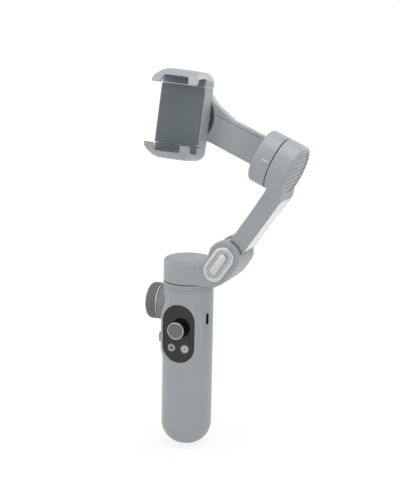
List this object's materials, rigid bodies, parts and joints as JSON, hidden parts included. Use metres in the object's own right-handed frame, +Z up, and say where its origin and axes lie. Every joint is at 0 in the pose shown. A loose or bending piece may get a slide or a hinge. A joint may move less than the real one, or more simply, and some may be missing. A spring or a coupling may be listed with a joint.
{
  "type": "phone gimbal stabilizer",
  "caption": "Hand-held phone gimbal: round grip with thumb panel and zoom wheel, yaw drum, folding elbow, arms with tilt and roll motors, and a sprung phone clamp.",
  "frame": {"origin": "mouth of the tripod socket, in the middle of the grip's foot", "axes": "+Z up along the grip, thumb panel and phone screen towards -Y, lower arm on the +X side"},
  "size_m": [0.1267, 0.0696, 0.3048],
  "materials": {
    "shell": "fine satin moulded plastic, cool light grey",
    "dark_plastic": "matt dark grey",
    "gloss_black": "polished black",
    "light_key": "satin pale grey",
    "red_dot": "red print",
    "bright_trim": "bright satin",
    "rubber_pad": "blue-grey matt rubber",
    "steel": "plain",
    "copper_wire": "enamelled copper wire",
    "cell_wrap": "shrink wrap",
    "board": "circuit board"
  },
  "bodies": {
    "grip": {"grip_shell": "shell", "grip_collar": "shell", "tripod_insert": "bright_trim", "battery_cell": "cell_wrap", "battery_cradle": "dark_plastic", "main_board": "board", "thumb_panel": "gloss_black", "joystick_socket": "dark_plastic", "tact_switches": "steel", "charging_socket": "steel", "wheel_base": "dark_plastic", "wheel_spindle": "steel", "side_button_frame": "shell", "yaw_stator": "steel", "yaw_coils": "copper_wire", "yaw_bearings": "steel", "yaw_screws": "steel"},
    "yaw_frame": {"yaw_drum": "shell", "yaw_magnets": "steel", "yaw_shaft": "steel", "fold_pin": "steel", "lock_bezel": "bright_trim", "lock_spring": "steel"},
    "lock": {"lock_button": "bright_trim"},
    "lower_arm_body": {"lower_arm": "shell", "arm_strip": "bright_trim", "tilt_end_plate": "shell", "tilt_stator": "steel", "tilt_coils": "copper_wire", "tilt_bearings": "steel"},
    "upper_arm_body": {"upper_arm": "shell", "arm_cover": "shell", "head_cap": "shell", "tilt_magnets": "steel", "tilt_shaft": "steel", "roll_stator": "steel", "roll_coils": "copper_wire", "roll_bearings": "steel"},
    "clamp": {"clamp_frame": "shell", "clamp_pad": "rubber_pad", "roll_magnets": "steel", "roll_shaft": "steel", "jaw_springs": "steel"},
    "upper_jaw_body": {"upper_jaw": "shell", "upper_jaw_grip": "rubber_pad"},
    "lower_jaw_body": {"lower_jaw": "shell", "lower_jaw_grip": "rubber_pad"},
    "pinion": {"jaw_pinion": "steel"},
    "yoke": {"joystick_yoke": "dark_plastic"},
    "stick": {"joystick_stick": "dark_plastic"},
    "record": {"record_button": "light_key", "record_dot": "red_dot"},
    "mode": {"mode_button": "light_key"},
    "side": {"side_button": "shell"},
    "wheel": {"zoom_wheel": "dark_plastic", "wheel_trim": "bright_trim"}
  },
  "joints": [
    {"name": "yaw", "type": "hinge", "parent": "grip", "child": "yaw_frame", "pos_m": [0, 0, 0.1344], "axis": [0, 0, 1], "range_deg": [-160, 160]},
    {"name": "fold", "type": "hinge", "parent": "yaw_frame", "child": "lower_arm_body", "pos_m": [0.0355, 0, 0.1595], "axis": [0, -1, 0], "range_deg": [0, 90]},
    {"name": "lock_press", "type": "slide", "parent": "yaw_frame", "child": "lock", "axis": [0, 1, 0], "range_m": [0, 0.002], "stiffness_N_per_m": 800, "deforming": ["lock_spring"]},
    {"name": "tilt", "type": "hinge", "parent": "lower_arm_body", "child": "upper_arm_body", "pos_m": [0.07176, 0, 0.23432], "axis": [-0.9239, 0, 0.3827], "range_deg": [-50, 100]},
    {"name": "roll", "type": "hinge", "parent": "upper_arm_body", "child": "clamp", "pos_m": [-0.0028, 0, 0.26521], "axis": [0.0665, -0.9848, 0.1604], "range_deg": [-100, 100]},
    {"name": "upper_jaw_slide", "type": "slide", "parent": "clamp", "child": "upper_jaw_body", "axis": [0.0521, 0.164, 0.9851], "range_m": [0, 0.0115], "stiffness_N_per_m": 300, "springref_m": -0.01, "deforming": ["jaw_springs"]},
    {"name": "lower_jaw_slide", "type": "slide", "parent": "clamp", "child": "lower_jaw_body", "axis": [-0.0521, -0.164, -0.9851], "range_m": [0, 0.0115]},
    {"name": "pinion_turn", "type": "hinge", "parent": "clamp", "child": "pinion", "pos_m": [-0.00208, -0.01027, 0.26728], "axis": [0.0665, -0.9848, 0.1604], "range_deg": [0, 112]},
    {"name": "stick_up_down", "type": "hinge", "parent": "grip", "child": "yoke", "pos_m": [0, -0.0116, 0.0988], "axis": [1, 0, 0], "range_deg": [-12, 12], "stiffness_Nm_per_rad": 0.05},
    {"name": "stick_left_right", "type": "hinge", "parent": "yoke", "child": "stick", "pos_m": [0, -0.0116, 0.0988], "axis": [0, 0, 1], "range_deg": [-12, 12], "stiffness_Nm_per_rad": 0.05},
    {"name": "record_press", "type": "slide", "parent": "grip", "child": "record", "axis": [0, 1, 0], "range_m": [0, 0.0008], "stiffness_N_per_m": 1500},
    {"name": "mode_press", "type": "slide", "parent": "grip", "child": "mode", "axis": [0, 1, 0], "range_m": [0, 0.0008], "stiffness_N_per_m": 1500},
    {"name": "side_press", "type": "slide", "parent": "grip", "child": "side", "axis": [1, 0, 0], "range_m": [0, 0.0008], "stiffness_N_per_m": 1500},
    {"name": "wheel_turn", "type": "hinge", "parent": "grip", "child": "wheel", "pos_m": [-0.026, 0, 0.1148], "axis": [-1, 0, 0], "continuous": true}
  ],
  "couplings": [
    {"joint": "lower_jaw_slide", "follows": "upper_jaw_slide", "ratio": 1},
    {"joint": "pinion_turn", "follows": "upper_jaw_slide", "rad_per_m": 166.67}
  ]
}
